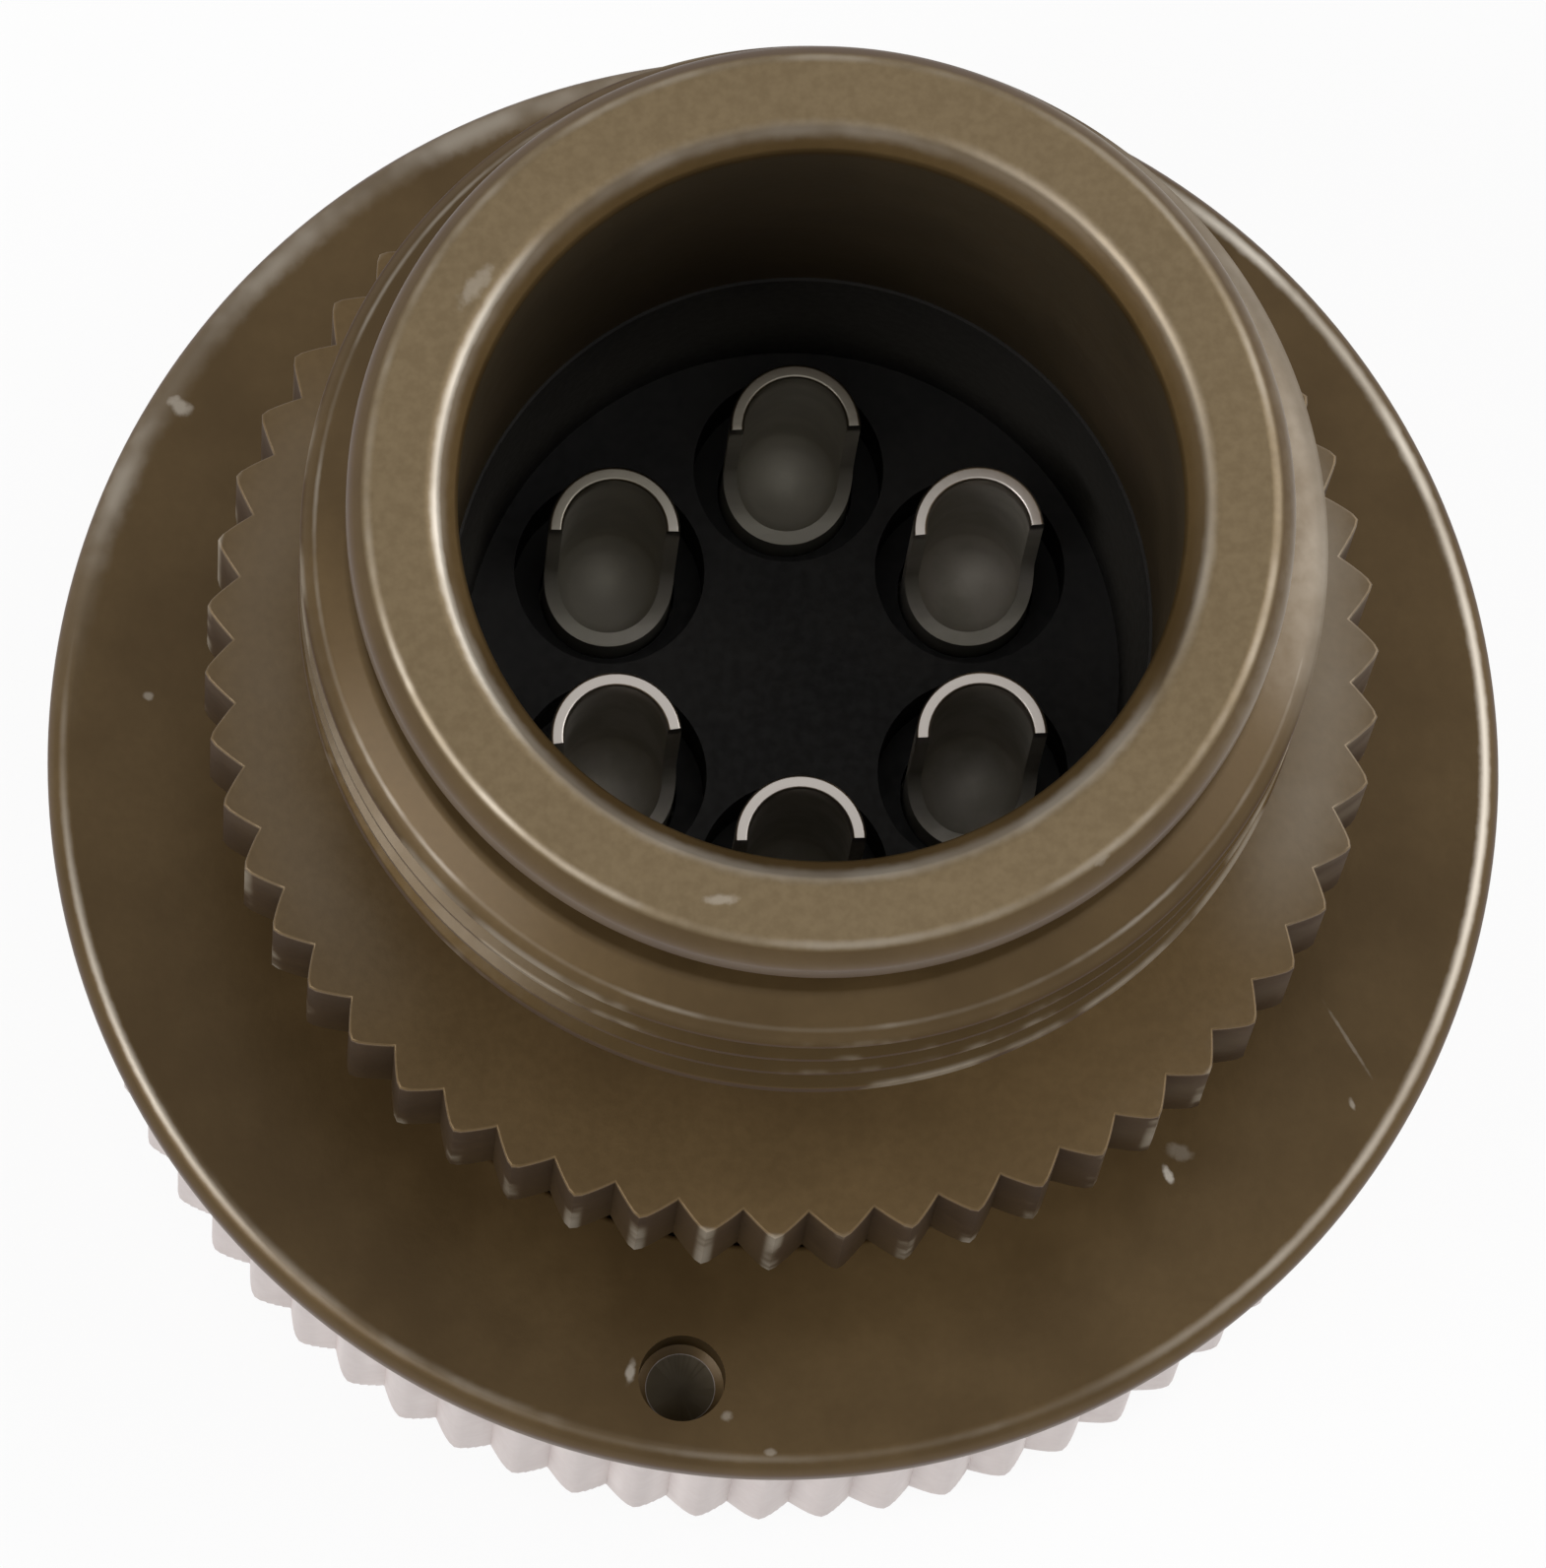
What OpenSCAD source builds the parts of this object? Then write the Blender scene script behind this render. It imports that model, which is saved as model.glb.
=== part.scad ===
// Circular cable plug with solder contacts.
// It stands on its mating end, and +Z runs along the axis towards the wiring end.
// Radial sizes are walls and steps, counted outwards from the wiring bore.

/* [Shell, rear end] */
// Diameter of the wiring bore
wire_bore_d = 13.3; // [12:0.1:15]
// Chamfer round the mouth of the wiring bore
entry_chamfer = 0.5; // [0.2:0.05:0.8]
// Width of the flat rear rim
rim_flat = 1.18; // [0.6:0.02:1.6]
// Width of the slant from the rim to the lip
rim_slant = 0.36; // [0.1:0.02:0.5]
// Height of that slant
rim_slant_h = 0.45; // [0.2:0.05:0.7]
// Height of the rear lip
lip_h = 1.25; // [0.8:0.05:2]
// Height of the groove between lip and thread
relief_h = 2.0; // [0.8:0.02:2.5]
// Length of the accessory thread
thread_h = 4.65; // [3:0.02:8]
// Height of the thread crest above the neck
thread_rise = 1.5; // [1:0.05:2]
// Pitch of the thread
thread_pitch = 1.27; // [1:0.01:1.6]
// Depth of the thread
thread_depth = 0.72; // [0.4:0.02:0.8]
// Chamfer where the thread starts
thread_chamfer = 0.25; // [0.15:0.05:0.6]
// Width of the slope in front of that chamfer
lead_w = 0.6; // [0.2:0.05:0.8]
// Rise of that slope towards the groove
lead_rise = 0.3; // [0.1:0.05:0.5]
// Wall of the neck round the rear insulator
neck_wall = 0.85; // [0.6:0.05:1.2]
// Height of the neck between thread and toothed shoulder
neck_h = 5.44; // [5:0.02:9]

/* [Toothed shoulder] */
// Height of the tooth crests above the journal
tooth_rise = 1.53; // [1.1:0.01:2.4]
// Depth of a tooth
tooth_depth = 0.52; // [0.3:0.02:0.8]
// Height of the toothed shoulder along the axis
tooth_h = 3.36; // [2:0.02:5]
// Number of teeth
tooth_count = 54; // [36:1:72]
// Angle of the first tooth
tooth_phase = 0.95; // [0:0.05:6]

/* [Shell, mating end] */
// Depth of the mating cavity
cavity_depth = 9.0; // [8:0.1:10]
// Step from the rear insulator's seat out to the cavity
cavity_step = 0.65; // [0.4:0.05:1]
// Wall of the nose
nose_wall = 1.0; // [0.8:0.05:1.4]
// Step from the nose out to the journal
nose_step = 0.9; // [0.6:0.05:1.2]
// Width of the keyway in the nose
keyway_w = 2.2; // [1.4:0.1:3]
// Depth of the keyway
keyway_depth = 0.5; // [0.3:0.05:0.6]

/* [Coupling ring] */
// Height of the knurled ring
ring_h = 8.75; // [8.2:0.05:12]
// Wall from the thread bore to the knurl crests
ring_wall = 2.6; // [2:0.05:4]
// Number of knurl crests
knurl_count = 68; // [48:1:90]
// Depth of the knurl
knurl_depth = 0.42; // [0.2:0.02:0.6]
// Angle of the first knurl crest
knurl_phase = -0.6; // [-2.6:0.1:2.6]
// Chamfer at the ring's front edge
ring_chamfer = 1.0; // [0.4:0.1:1.4]
// Travel of the ring along the journal
ring_travel = 5.0; // [2:0.1:6]

/* [Rear collar] */
// Thickness of the collar plate
collar_t = 1.1; // [0.9:0.05:2]
// Overhang of the collar past the knurl crests
collar_overhang = 0.6; // [0.3:0.05:1.5]
// Radius of the collar's outer edges
collar_edge_r = 0.45; // [0.2:0.05:0.45]
// Depth of the spigot that seats in the ring
spigot_h = 0.8; // [0.5:0.05:1.2]
// Ledge in the ring outside the thread bore, as wide as the spigot's overlap
spigot_ledge = 0.3; // [0.2:0.05:0.6]
// Diameter of the drilled dimple
dimple_d = 1.7; // [1:0.1:2]
// Distance of the dimple from the collar's outer edge
dimple_inset = 1.75; // [1.6:0.05:1.9]
// Angle of the dimple round the axis
dimple_angle = 261; // [0:1:360]
// Depth of the dimple below the collar's face
dimple_depth = 2.0; // [1.3:0.1:3]

/* [Insulators] */
// Thickness of the front insulator
front_insert_t = 4.0; // [3:0.1:5]
// Thickness of the rear insulator's floor
rear_insert_t = 4.34; // [4:0.02:5]
// Step in the shell that stops the rear insulator
insert_stop = 0.5; // [0.3:0.05:0.8]
// Wall of the rear insulator's raised rim
insert_rim_t = 0.5; // [0.4:0.05:0.8]
// Height of the raised rim above the floor
insert_rim_h = 4.46; // [3.8:0.02:5]
// Draft of the rim's inner wall, from its top in to the floor
insert_draft = 0.3; // [0.2:0.02:0.5]
// Depth of the recess round each solder cup
recess_depth = 1.85; // [1.4:0.05:2.2]
// Web between neighbouring recesses
recess_web = 0.35; // [0.2:0.05:0.8]

/* [Contacts] */
// Diameter of the circle that the contacts stand on
contact_circle_d = 8.0; // [7.6:0.05:8.6]
// Outer diameter of a solder cup
cup_d = 2.5; // [2.2:0.05:2.6]
// Wall of a solder cup
cup_wall = 0.27; // [0.2:0.01:0.4]
// Height of the cup above the insulator's floor
cup_rise = 3.36; // [2.6:0.02:4]
// Drop of the cup's low lip below the insulator's floor
cup_lip_drop = 1.04; // [0.6:0.02:1.4]
// Radius of the curve from the cup's cut face out to its low lip
scoop_r = 1.2; // [0.6:0.05:1.4]
// Depth of the cup's bore below its low lip
cup_well = 0.3; // [0.2:0.05:0.5]
// Diameter of the mating pin
pin_d = 1.58; // [1.2:0.02:1.8]
// Distance of the pin's tip from the mating end
pin_inset = 1.2; // [0.8:0.1:3]
// Step of the locking collar beyond the cup
contact_collar_step = 0.25; // [0.15:0.05:0.35]
// Height of the locking collar
contact_collar_h = 1.0; // [0.6:0.05:1.4]

/* [Rings and washers] */
// Radial width of the thrust washer and of the wave washer
washer_w = 1.02; // [0.8:0.02:1.6]
// Thickness of the thrust washer
thrust_t = 0.5; // [0.4:0.05:0.8]
// Free height of the wave washer
wave_h = 0.7; // [0.5:0.05:0.9]
// Thickness of the wave washer's strip
wave_t = 0.25; // [0.15:0.01:0.35]
// Number of waves
wave_count = 3; // [3:1:5]
// Thickness of the snap ring in front of the wave washer
snap_t = 0.7; // [0.5:0.05:1]
// Depth of the snap ring's groove
snap_groove = 0.6; // [0.4:0.05:0.7]
// Height of the snap ring above the journal
snap_rise = 0.7; // [0.4:0.05:0.8]
// Gap of the snap ring in degrees
snap_gap_angle = 24; // [10:1:60]
// Land of the journal in front of the snap ring
snap_land = 0.3; // [0.2:0.05:0.6]
// Thickness of the ring that holds the insulators
insert_ring_t = 0.7; // [0.5:0.05:1]
// Depth of that ring's groove
insert_groove = 0.5; // [0.3:0.05:0.6]
// Height of that ring inside the cavity's wall
insert_ring_rise = 0.5; // [0.3:0.05:0.8]
// Gap of that ring in degrees
insert_ring_gap_angle = 40; // [20:1:70]
// Cord diameter of the nose seal
seal_cord_d = 1.2; // [1:0.05:1.4]

/* [Clearances] */
// Radial clearance of the collar and washers on the journal
running_gap = 0.08; // [0.05:0.01:0.1]
// Clearance of the washers inside the coupling ring
washer_gap = 0.3; // [0.2:0.05:0.5]
// Axial clearance between pieces that move apart
axial_gap = 0.1; // [0.05:0.01:0.2]
// Clearance of pieces that stay put
seat_gap = 0.05; // [0.02:0.01:0.08]

/* [Hidden] */

olive = [0.36, 0.30, 0.21];
bare_metal = [0.78, 0.75, 0.75];
insulator_black = [0.06, 0.06, 0.07];
silver = [0.72, 0.71, 0.68];
spring_steel = [0.55, 0.56, 0.58];
seal_black = [0.10, 0.10, 0.10];

contact_count = 6;
// Each solder cup was turned by hand, so its opening stands a little off the -Y direction
cup_turns = [2, 5, 2, 1, 7, -1];
drill_point_angle = 118;
edge_break = 0.3;
cut_margin = 1;
turned_fn = 96;
small_fn = 48;

// Widths of a thread's flat crest and root, as shares of the pitch
thread_crest_share = 0.16;
thread_root_share = 0.1;
// Width of a tooth's flat crest, as a share of the pitch
tooth_crest_share = 0.12;
// Shoulders of a rounded knurl crest, as shares of the pitch and of the depth
knurl_shoulder_share = 0.22;
knurl_shoulder_drop = 0.22;

// Radii from the wiring bore outwards
wire_bore_r = wire_bore_d / 2;
entry_r = wire_bore_r + entry_chamfer;
rim_r = entry_r + rim_flat;
lip_r = rim_r + rim_slant;
insert_seat_r = wire_bore_r + insert_stop;
neck_r = insert_seat_r + neck_wall;
thread_r = neck_r + thread_rise;
thread_root_r = thread_r - thread_depth;
lead_r = thread_r - thread_chamfer - lead_w;
cavity_r = insert_seat_r + cavity_step;
nose_r = cavity_r + nose_wall;
journal_r = nose_r + nose_step;
tooth_r = journal_r + tooth_rise;
tooth_root_r = tooth_r - tooth_depth;
running_r = journal_r + running_gap;
washer_r = running_r + washer_w;
coupling_bore_r = washer_r + washer_gap;
spigot_r = coupling_bore_r + spigot_ledge;
ring_r = coupling_bore_r + ring_wall;
ring_root_r = ring_r - knurl_depth;
collar_r = ring_r + collar_overhang;
dimple_circle_r = collar_r - dimple_inset;
rear_insert_r = insert_seat_r - seat_gap;
insert_well_r = rear_insert_r - insert_rim_t;
front_insert_r = cavity_r - seat_gap;

// Sizes of a contact and of the holes that take it
contact_circle_r = contact_circle_d / 2;
recess_r = contact_circle_r * sin(180 / contact_count) - recess_web / 2;
cup_r = cup_d / 2;
cup_bore_r = cup_r - cup_wall;
pin_r = pin_d / 2;
contact_collar_r = cup_r + contact_collar_step;

// Heights from the mating end up
collar_top_z = ring_h + collar_t;
tooth_z = collar_top_z + ring_travel + axial_gap;
neck_z = tooth_z + tooth_h;
thread_z = neck_z + neck_h;
relief_z = thread_z + thread_h;
lip_z = relief_z + relief_h;
rim_z = lip_z + lip_h;
insert_split_z = cavity_depth + front_insert_t;
floor_z = insert_split_z + rear_insert_t;
insert_top_z = floor_z + insert_rim_h;
insert_stop_z = insert_top_z + seat_gap;
recess_z = floor_z - recess_depth;
cup_top_z = floor_z + cup_rise;
cup_lip_z = floor_z - cup_lip_drop;
cup_floor_z = cup_lip_z - cup_well;

// The stack that carries the coupling ring, from its spigot down to the nose
thrust_z = ring_h - spigot_h - axial_gap - thrust_t;
snap_top_z = thrust_z - axial_gap - wave_h;
snap_z = snap_top_z - snap_t;
nose_h = snap_z - seat_gap - snap_land;
insert_ring_top_z = cavity_depth - seat_gap;
insert_ring_z = insert_ring_top_z - insert_ring_t;

// Grooves of the thread, and the upper edge of crest number i counted from its start
thread_grooves = floor((thread_h - thread_chamfer - edge_break) / thread_pitch);

function crest_z(i) = relief_z - thread_chamfer - i * thread_pitch;

function polar(r, a) = [r * cos(a), r * sin(a)];

function drill_point_h(r) = r / tan(drill_point_angle / 2);

// Straight teeth round a circle, each a sharp root and a narrow flat crest
function teeth(count, crest_r, root_r, phase) =
    let (pitch = 360 / count, half_crest = tooth_crest_share / 2)
    [for (i = [0 : count - 1], p = [
        polar(root_r, phase + pitch * (i - 0.5)),
        polar(crest_r, phase + pitch * (i - half_crest)),
        polar(crest_r, phase + pitch * (i + half_crest))
    ]) p];

// Knurl with rounded crests: two shoulders and a top point between the roots
function knurl(count, crest_r, root_r, phase) =
    let (
        pitch = 360 / count,
        shoulder_r = crest_r - (crest_r - root_r) * knurl_shoulder_drop
    )
    [for (i = [0 : count - 1], p = [
        polar(root_r, phase + pitch * (i - 0.5)),
        polar(shoulder_r, phase + pitch * (i - knurl_shoulder_share)),
        polar(crest_r, phase + pitch * i),
        polar(shoulder_r, phase + pitch * (i + knurl_shoulder_share))
    ]) p];

// Section of the thread's grooves from the bottom up, as rings that stand for the helix
function thread_section() =
    let (crest_w = thread_pitch * thread_crest_share, root_w = thread_pitch * thread_root_share)
    [for (i = [thread_grooves - 1 : -1 : 0],
        root_z = (crest_z(i) - crest_w + crest_z(i + 1)) / 2,
        p = [
            [thread_r, crest_z(i + 1)],
            [thread_root_r, root_z - root_w / 2],
            [thread_root_r, root_z + root_w / 2],
            [thread_r, crest_z(i) - crest_w]
        ]) p];

// Half section of the shell, without its teeth and keyway
module shell_section() {
    polygon(concat([
        [cavity_r + edge_break, 0],
        [nose_r - edge_break, 0],
        [nose_r, edge_break],
        [nose_r, nose_h],
        [journal_r, nose_h],
        [journal_r, snap_z - seat_gap],
        [journal_r - snap_groove, snap_z - seat_gap],
        [journal_r - snap_groove, snap_top_z + seat_gap],
        [journal_r, snap_top_z + seat_gap],
        [journal_r, tooth_z + tooth_h / 2],
        [neck_r, tooth_z + tooth_h / 2],
        [neck_r, thread_z],
        [thread_r - edge_break, thread_z],
        [thread_r, thread_z + edge_break]
    ], thread_section(), [
        [thread_r, relief_z - thread_chamfer],
        [thread_r - thread_chamfer, relief_z],
        [lead_r, relief_z + lead_rise],
        [neck_r, relief_z + lead_rise],
        [neck_r, lip_z],
        [lip_r, lip_z],
        [lip_r, rim_z - rim_slant_h],
        [rim_r, rim_z],
        [entry_r, rim_z],
        [wire_bore_r, rim_z - entry_chamfer],
        [wire_bore_r, insert_stop_z],
        [insert_seat_r, insert_stop_z],
        [insert_seat_r, insert_split_z],
        [cavity_r, insert_split_z],
        [cavity_r, insert_ring_top_z + seat_gap],
        [cavity_r + insert_groove, insert_ring_top_z + seat_gap],
        [cavity_r + insert_groove, insert_ring_z - seat_gap],
        [cavity_r, insert_ring_z - seat_gap],
        [cavity_r, edge_break]
    ]));
}

// The toothed shoulder, hollow so that it blends into the shell's wall
module toothed_shoulder() {
    translate([0, 0, tooth_z])
        linear_extrude(tooth_h)
            difference() {
                polygon(teeth(tooth_count, tooth_r, tooth_root_r, tooth_phase));
                circle(r = neck_r - neck_wall / 2, $fn = turned_fn);
            }
}

// Turned shell: rear rim, accessory thread, toothed shoulder, journal and keyed nose
module shell() {
    color(olive)
        difference() {
            union() {
                rotate_extrude($fn = turned_fn) shell_section();
                toothed_shoulder();
            }
            translate([-keyway_w / 2, nose_r - keyway_depth, -cut_margin])
                cube([keyway_w, nose_step + keyway_depth, nose_h - seal_cord_d + cut_margin]);
        }
}

// Puts its children at the place of contact number i, counted clockwise from +Y
module at_contact(i) {
    angle = 90 - 360 / contact_count * (i - 1);
    translate([contact_circle_r * cos(angle), contact_circle_r * sin(angle), 0])
        children();
}

module at_contacts() {
    for (i = [1 : contact_count])
        at_contact(i) children();
}

// Moulded rear insulator: a thick floor with a recess round each cup, and a raised rim
module rear_insert() {
    color(insulator_black)
        difference() {
            rotate_extrude($fn = turned_fn)
                polygon([
                    [0, insert_split_z],
                    [rear_insert_r, insert_split_z],
                    [rear_insert_r, insert_top_z],
                    [insert_well_r, insert_top_z],
                    [insert_well_r - insert_draft, floor_z],
                    [0, floor_z]
                ]);
            at_contacts() {
                translate([0, 0, recess_z])
                    cylinder(r = recess_r, h = recess_depth + cut_margin, $fn = small_fn);
                translate([0, 0, insert_split_z - cut_margin])
                    cylinder(r = cup_r + seat_gap, h = rear_insert_t + cut_margin, $fn = small_fn);
                translate([0, 0, insert_split_z - cut_margin])
                    cylinder(
                        r = contact_collar_r + seat_gap,
                        h = contact_collar_h + seat_gap + cut_margin,
                        $fn = small_fn
                    );
            }
        }
}

// Front insulator, which the pins stand out of
module front_insert() {
    color(insulator_black)
        difference() {
            translate([0, 0, cavity_depth])
                cylinder(r = front_insert_r, h = front_insert_t, $fn = turned_fn);
            at_contacts()
                translate([0, 0, cavity_depth - cut_margin])
                    cylinder(r = pin_r + seat_gap, h = front_insert_t + 2 * cut_margin, $fn = small_fn);
        }
}

// What is cut from the front of a solder cup: an upright face that curves out to the low lip
module scoop() {
    rotate([90, 0, 90])
        translate([0, 0, -cup_d])
            linear_extrude(2 * cup_d) {
                translate([-2 * cup_d, cup_lip_z + scoop_r])
                    square([2 * cup_d, cup_top_z - cup_lip_z - scoop_r + cut_margin]);
                translate([-2 * cup_d, cup_lip_z])
                    square([2 * cup_d - scoop_r, 2 * scoop_r]);
                translate([-scoop_r, cup_lip_z + scoop_r])
                    circle(r = scoop_r, $fn = small_fn);
            }
}

// One turned contact: mating pin with a round tip, locking collar, and a solder cup
// with its front half scooped away so that a wire can be laid in
module contact(i) {
    pin_start_z = pin_inset + pin_r;
    color(silver)
        at_contact(i)
            rotate([0, 0, cup_turns[i - 1]])
                difference() {
                    union() {
                        translate([0, 0, pin_start_z])
                            sphere(r = pin_r, $fn = small_fn);
                        translate([0, 0, pin_start_z])
                            cylinder(
                                r = pin_r,
                                h = insert_split_z + contact_collar_h / 2 - pin_start_z,
                                $fn = small_fn
                            );
                        translate([0, 0, insert_split_z])
                            cylinder(r = contact_collar_r, h = contact_collar_h, $fn = small_fn);
                        translate([0, 0, insert_split_z + contact_collar_h / 2])
                            cylinder(
                                r = cup_r,
                                h = cup_top_z - insert_split_z - contact_collar_h / 2,
                                $fn = small_fn
                            );
                    }
                    translate([0, 0, cup_floor_z])
                        cylinder(r = cup_bore_r, h = cup_top_z - cup_floor_z + cut_margin, $fn = small_fn);
                    translate([0, 0, cup_floor_z - drill_point_h(cup_bore_r)])
                        cylinder(r1 = 0, r2 = cup_bore_r, h = drill_point_h(cup_bore_r), $fn = small_fn);
                    scoop();
                }
}

// Open ring of flat section, with its gap centred on the -Y direction
module open_ring(inner_r, outer_r, height, gap_angle) {
    rotate([0, 0, gap_angle / 2 - 90])
        rotate_extrude(angle = 360 - gap_angle, $fn = turned_fn)
            translate([inner_r, 0])
                square([outer_r - inner_r, height]);
}

// Spring ring that holds the two insulators in the shell
module insert_ring() {
    color(spring_steel)
        translate([0, 0, insert_ring_z])
            open_ring(
                cavity_r - insert_ring_rise,
                cavity_r + insert_groove - seat_gap,
                insert_ring_t,
                insert_ring_gap_angle
            );
}

// Rubber cord ring at the root of the nose
module nose_seal() {
    seal_cord_r = seal_cord_d / 2;
    color(seal_black)
        translate([0, 0, nose_h - seal_cord_r])
            rotate_extrude($fn = turned_fn)
                translate([nose_r + seal_cord_r, 0])
                    circle(r = seal_cord_r, $fn = small_fn);
}

// Snap ring that stops the coupling ring from leaving the nose
module snap_ring() {
    color(spring_steel)
        translate([0, 0, snap_z])
            open_ring(
                journal_r - snap_groove + seat_gap,
                journal_r + snap_rise,
                snap_t,
                snap_gap_angle
            );
}

// Wave washer: a flat strip bent up and down round the journal
module wave_washer() {
    steps = 24 * wave_count;
    swing = (wave_h - wave_t) / 2;
    corners = [[running_r, 0], [washer_r, 0], [washer_r, wave_t], [running_r, wave_t]];
    points = [for (i = [0 : steps - 1], c = corners)
        let (a = 360 * i / steps, lift = swing * (1 + sin(wave_count * a)))
        [c[0] * cos(a), c[0] * sin(a), c[1] + lift]];
    faces = [for (i = [0 : steps - 1], k = [0 : 3])
        let (j = (i + 1) % steps, m = (k + 1) % 4)
        [4 * i + k, 4 * i + m, 4 * j + m, 4 * j + k]];
    color(spring_steel)
        translate([0, 0, snap_top_z])
            polyhedron(points, faces, convexity = 4);
}

// Flat washer that slides with the coupling ring and takes its thrust
module thrust_washer() {
    color(spring_steel)
        translate([0, 0, thrust_z])
            rotate_extrude($fn = turned_fn)
                translate([running_r, 0])
                    square([washer_w, thrust_t]);
}

// The dimple that is drilled through the collar into the ring, as a solid to cut with
module dimple() {
    dimple_radius = dimple_d / 2;
    point_h = drill_point_h(dimple_radius);
    rotate([0, 0, dimple_angle])
        translate([dimple_circle_r, 0, collar_top_z - dimple_depth]) {
            cylinder(r = dimple_radius, h = dimple_depth + cut_margin, $fn = small_fn);
            translate([0, 0, -point_h])
                cylinder(r1 = 0, r2 = dimple_radius, h = point_h, $fn = small_fn);
        }
}

// Knurled coupling ring with its thread bore and the seat for the collar
module coupling_ring() {
    seat_r = spigot_r + seat_gap;
    seat_z = ring_h - spigot_h - seat_gap;
    color(bare_metal)
        difference() {
            intersection() {
                linear_extrude(ring_h)
                    polygon(knurl(knurl_count, ring_r, ring_root_r, knurl_phase));
                rotate_extrude($fn = turned_fn)
                    polygon([
                        [coupling_bore_r + edge_break, 0],
                        [ring_r - ring_chamfer, 0],
                        [ring_r + cut_margin, ring_chamfer + cut_margin],
                        [ring_r + cut_margin, ring_h - edge_break - cut_margin],
                        [ring_r - edge_break, ring_h],
                        [seat_r, ring_h],
                        [seat_r, seat_z],
                        [coupling_bore_r, seat_z],
                        [coupling_bore_r, edge_break]
                    ]);
            }
            dimple();
        }
}

// Smooth rear collar: a plate with rounded edges and a spigot that seats in the ring
module rear_collar() {
    edge_centre_r = collar_r - collar_edge_r;
    color(olive)
        difference() {
            rotate_extrude($fn = turned_fn) {
                translate([running_r, ring_h])
                    square([edge_centre_r - running_r, collar_t]);
                translate([edge_centre_r - collar_edge_r, ring_h + collar_edge_r])
                    square([2 * collar_edge_r, collar_t - 2 * collar_edge_r]);
                for (z = [ring_h + collar_edge_r, collar_top_z - collar_edge_r])
                    translate([edge_centre_r, z])
                        circle(r = collar_edge_r, $fn = small_fn);
                translate([running_r, ring_h - spigot_h])
                    square([spigot_r - running_r, spigot_h + collar_t / 2]);
            }
            dimple();
        }
}

shell();
rear_insert();
front_insert();
contact(1);  // contact_1
contact(2);  // contact_2
contact(3);  // contact_3
contact(4);  // contact_4
contact(5);  // contact_5
contact(6);  // contact_6
insert_ring();
nose_seal();
snap_ring();
wave_washer();
thrust_washer();
coupling_ring();
rear_collar();
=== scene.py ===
import bpy
import bmesh
import math
from mathutils import Matrix, Vector


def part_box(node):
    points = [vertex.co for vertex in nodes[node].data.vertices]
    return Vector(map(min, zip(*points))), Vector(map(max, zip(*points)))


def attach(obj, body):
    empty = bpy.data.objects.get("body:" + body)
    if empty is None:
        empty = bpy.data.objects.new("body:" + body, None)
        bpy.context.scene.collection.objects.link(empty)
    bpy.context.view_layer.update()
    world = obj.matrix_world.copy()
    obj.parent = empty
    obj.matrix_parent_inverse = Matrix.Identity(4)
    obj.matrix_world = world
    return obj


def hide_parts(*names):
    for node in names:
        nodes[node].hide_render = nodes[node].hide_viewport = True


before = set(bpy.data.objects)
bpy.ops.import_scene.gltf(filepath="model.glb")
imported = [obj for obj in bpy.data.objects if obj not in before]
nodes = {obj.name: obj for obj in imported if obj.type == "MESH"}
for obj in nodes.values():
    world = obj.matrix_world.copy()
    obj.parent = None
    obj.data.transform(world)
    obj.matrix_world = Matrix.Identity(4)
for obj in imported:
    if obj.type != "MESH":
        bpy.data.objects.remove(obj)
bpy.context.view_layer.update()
mm = 0.001
sameSpot = 0.0005                                          # mm, nearer vertices become one
overshoot = 1.0                                            # mm, a cutter's reach past a face
print("frame loaded:", len(nodes), "solids")


# mesh helpers

def finishMesh(name, bm):
    bmesh.ops.remove_doubles(bm, verts=bm.verts, dist=sameSpot * mm)
    bmesh.ops.recalc_face_normals(bm, faces=bm.faces)
    mesh = bpy.data.meshes.new(name)
    bm.to_mesh(mesh)
    bm.free()
    piece = bpy.data.objects.new(name, mesh)
    bpy.context.scene.collection.objects.link(piece)
    return piece


def ray(degrees):  # unit vector that leaves the axis at an angle
    turned = math.radians(degrees)
    return Vector((math.cos(turned), math.sin(turned), 0))


def turnedSection(bm, corners, closed=True, startAngle=0.0, segments=3):
    across = ray(startAngle)
    points = [bm.verts.new(across * radius * mm + Vector((0, 0, height * mm)))
              for radius, height, _ in corners]            # radius, height and rounding, mm
    pairs = list(zip(points, points[1:])) + ([(points[-1], points[0])] if closed else [])
    for first, second in pairs:
        bm.edges.new((first, second))
    for rounding in sorted({corner[2] for corner in corners if corner[2] > 0}):
        chosen = [point for point, corner in zip(points, corners) if corner[2] == rounding]
        bmesh.ops.bevel(bm, geom=chosen, offset=rounding * mm, offset_type="OFFSET",
                        segments=segments, profile=0.5, affect="VERTICES", material=-1,
                        clamp_overlap=True)


def turn(bm, steps):  # full turn of all that is in the bmesh so far
    bmesh.ops.spin(bm, geom=list(bm.verts) + list(bm.edges), cent=(0, 0, 0), axis=(0, 0, 1),
                   dvec=(0, 0, 0), angle=math.tau, steps=steps, use_merge=True)


def blockMesh(size, centre):  # plain block, in mm
    bm = bmesh.new()
    bmesh.ops.create_cube(bm, size=1)
    bmesh.ops.scale(bm, verts=bm.verts, vec=tuple(length * mm for length in size))
    bmesh.ops.translate(bm, verts=bm.verts, vec=tuple(length * mm for length in centre))
    return bm


def setRadius(vert, radius):  # moves a vertex straight in or out from the axis
    factor = radius / math.hypot(vert.co.x, vert.co.y)
    vert.co.x *= factor
    vert.co.y *= factor


def crestShape(turned, count, soft):  # 1 on a crest and 0 in a root, with the crest rounded
    share = turned * count / math.tau
    across = 2 * abs(share - round(share))
    return 1 - (math.hypot(across, soft) - soft) / (math.hypot(1, soft) - soft)


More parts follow.
